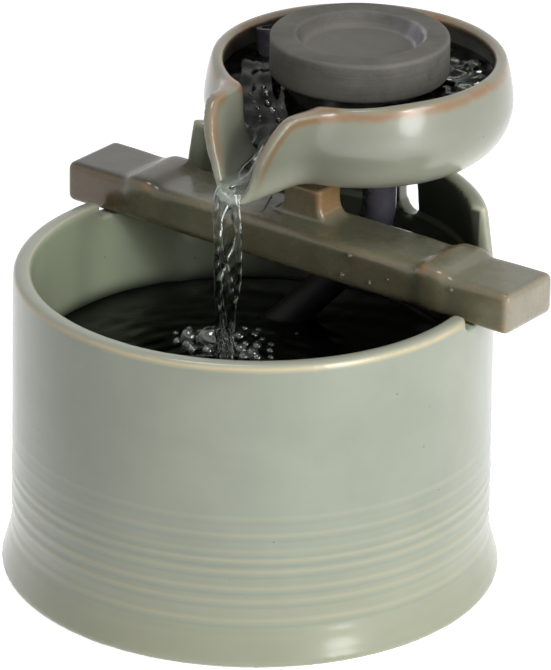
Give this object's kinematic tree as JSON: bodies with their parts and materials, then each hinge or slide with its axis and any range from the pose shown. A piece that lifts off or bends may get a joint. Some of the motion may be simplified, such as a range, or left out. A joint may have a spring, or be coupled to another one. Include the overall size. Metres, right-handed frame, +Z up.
{
  "type": "tabletop fountain",
  "caption": "Tabletop water fountain: a ceramic basin with a raised back wall, a crossbar laid over it, a spouted bowl with a stone cover, and a small submersible pump with its hose.",
  "frame": {"origin": "centre of the basin's foot, in the plane it stands on", "axes": "+Z up along the basin's axis, the spout pours towards -Y, the crossbar lies along X"},
  "size_m": [0.213, 0.2239, 0.2],
  "materials": {
    "celadon_basin": "satin celadon glaze, cream where it breaks on rings and rim",
    "celadon_bowl": "satin celadon glaze with a brown band at the rim",
    "brown_glaze": "brown and olive glaze, orange on its edges",
    "dark_stone": "matte dark grey stone",
    "clear_hose": "clear soft plastic, wet",
    "black_plastic": "moulded black",
    "pale_plastic": "moulded white",
    "seal_rubber": "soft black",
    "core_steel": "laminated steel",
    "copper_wire": "enamelled copper wire",
    "magnet": "ferrite",
    "shaft_ceramic": "polished white ceramic",
    "sponge": "open black sponge",
    "water": "clear running water"
  },
  "bodies": {
    "basin_body": {"basin": "celadon_basin", "supply_hose": "clear_hose", "impeller_housing": "black_plastic", "motor_housing": "black_plastic", "housing_seal": "seal_rubber", "end_cap": "black_plastic", "stator_core": "core_steel", "coil_bobbin": "pale_plastic", "coil_winding": "copper_wire", "rotor_shaft": "shaft_ceramic", "front_bush": "seal_rubber", "rear_bush": "seal_rubber", "suction_cups": "seal_rubber", "cable_gland": "seal_rubber"},
    "crossbar_body": {"crossbar": "brown_glaze"},
    "bowl_body": {"bowl": "celadon_bowl", "inlet_elbow": "black_plastic", "inlet_seal": "seal_rubber", "inlet_nut": "black_plastic", "outlet_hose": "clear_hose"},
    "cover_body": {"stone_cover": "dark_stone"},
    "rotor_body": {"impeller": "pale_plastic", "rotor_magnet": "magnet"},
    "intake_body": {"intake_cover": "black_plastic", "filter_sponge": "sponge"},
    "dial_body": {"flow_dial": "black_plastic"}
  },
  "joints": [
    {"name": "crossbar_lift", "type": "slide", "parent": "basin_body", "child": "crossbar_body", "axis": [0, 0, 1], "range_m": [0, 0.035]},
    {"name": "bowl_lift", "type": "slide", "parent": "crossbar_body", "child": "bowl_body", "axis": [0, 0, 1], "range_m": [0, 0.035]},
    {"name": "cover_lift", "type": "slide", "parent": "bowl_body", "child": "cover_body", "axis": [0, 0, 1], "range_m": [0, 0.04]},
    {"name": "rotor_spin", "type": "hinge", "parent": "basin_body", "child": "rotor_body", "pos_m": [-0.03412, 0.03412, 0.027], "axis": [1, 0, 0], "continuous": true},
    {"name": "intake_pull", "type": "slide", "parent": "basin_body", "child": "intake_body", "axis": [-1, 0, 0], "range_m": [0, 0.01]},
    {"name": "dial_turn", "type": "hinge", "parent": "intake_body", "child": "dial_body", "pos_m": [-0.05312, 0.03412, 0.027], "axis": [1, 0, 0], "range_deg": [0, 30]}
  ]
}
